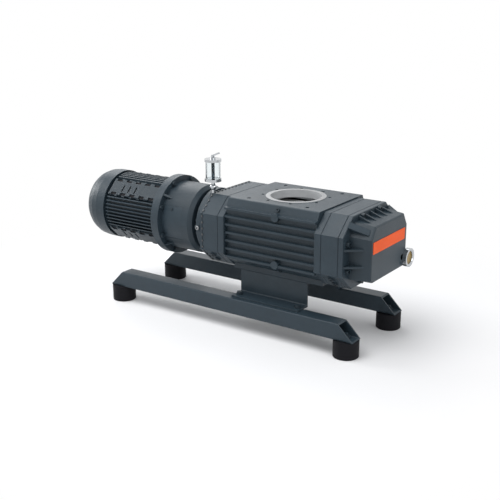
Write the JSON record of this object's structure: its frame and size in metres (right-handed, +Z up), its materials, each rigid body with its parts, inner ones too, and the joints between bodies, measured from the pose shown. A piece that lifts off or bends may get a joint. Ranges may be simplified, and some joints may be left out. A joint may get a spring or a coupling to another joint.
{
  "type": "roots vacuum pump",
  "caption": "Motor-driven roots vacuum pump: two-lobe rotors turn together in a ribbed casing on a rail frame and move gas from the top inlet to the outlet below",
  "frame": {"origin": "middle of the footprint, on the floor under the rubber feet", "axes": "+X along the shafts from the motor to the gear cover, +Y towards the side with the terminal box, +Z up"},
  "size_m": [1.066, 0.3475, 0.5234],
  "materials": {
    "black_plastic": "matte",
    "black_rubber": "matte",
    "cast_rotor": "satin",
    "chrome_fittings": "polished",
    "clear_glass": "polished",
    "copper_windings": "satin",
    "dark_screws": "satin",
    "machined_steel": "satin",
    "oil_glass": "polished",
    "orange_plate": "semi-gloss",
    "painted_casting": "semi-gloss",
    "painted_frame": "semi-gloss",
    "seal_rubber": "matte",
    "spider_rubber": "matte",
    "zinc_screws": "satin"
  },
  "bodies": {
    "stand": {"bell_housing": "painted_casting", "bell_screws": "dark_screws", "bracket_screws": "zinc_screws", "cable_gland": "black_plastic", "casing": "painted_casting", "coupling_window_covers": "painted_casting", "cover_drain_plug": "dark_screws", "drive_bearing_gear_end": "machined_steel", "drive_bearing_motor_end": "machined_steel", "drive_end_plate": "painted_casting", "driven_bearing_gear_end": "machined_steel", "driven_bearing_motor_end": "machined_steel", "fan_cowl": "painted_casting", "foot_studs": "zinc_screws", "front_bracket": "painted_frame", "front_foot_gear_end": "black_rubber", "front_foot_motor_end": "black_rubber", "front_rail": "painted_frame", "gear_cover": "painted_casting", "gear_cover_screws": "dark_screws", "gear_end_plate": "painted_casting", "housing_plugs": "dark_screws", "label_plate": "orange_plate", "motor_bearings": "machined_steel", "motor_fan_shield": "painted_casting", "motor_flange_bolts": "dark_screws", "motor_flange_shield": "painted_casting", "motor_frame": "painted_casting", "oiler_base": "chrome_fittings", "oiler_cap": "chrome_fittings", "oiler_glass": "clear_glass", "oiler_needle": "dark_screws", "rear_bracket": "painted_frame", "rear_foot_gear_end": "black_rubber", "rear_foot_motor_end": "black_rubber", "rear_rail": "painted_frame", "seal_cover": "painted_casting", "seal_cover_screws": "dark_screws", "shaft_seals": "seal_rubber", "sight_glass": "oil_glass", "sight_ring": "chrome_fittings", "stator_core": "machined_steel", "stator_windings": "copper_windings", "terminal_box": "painted_casting", "terminal_lid": "painted_casting"},
    "drive_line": {"drive_rotor": "cast_rotor", "drive_shaft": "machined_steel", "drive_gear": "machined_steel", "drive_gear_nut": "zinc_screws", "pump_hub": "cast_rotor", "motor_hub": "cast_rotor", "coupling_spider": "spider_rubber", "motor_shaft": "machined_steel", "motor_rotor": "machined_steel", "cooling_fan": "black_plastic"},
    "driven_line": {"driven_rotor": "cast_rotor", "driven_shaft": "machined_steel", "driven_gear": "machined_steel", "driven_gear_nut": "zinc_screws"},
    "lever": {"oiler_lever": "chrome_fittings"}
  },
  "joints": [
    {"name": "drive_spin", "type": "hinge", "parent": "stand", "child": "drive_line", "pos_m": [0.209, -0.052, 0.3], "axis": [1, 0, 0], "continuous": true},
    {"name": "driven_spin", "type": "hinge", "parent": "stand", "child": "driven_line", "pos_m": [0.209, 0.052, 0.3], "axis": [1, 0, 0], "continuous": true},
    {"name": "lever_flip", "type": "hinge", "parent": "stand", "child": "lever", "pos_m": [-0.0285, -0.092, 0.511], "axis": [0, -1, 0], "range_deg": [0, 65]}
  ],
  "couplings": [
    {"joint": "driven_spin", "follows": "drive_spin", "ratio": -1}
  ]
}
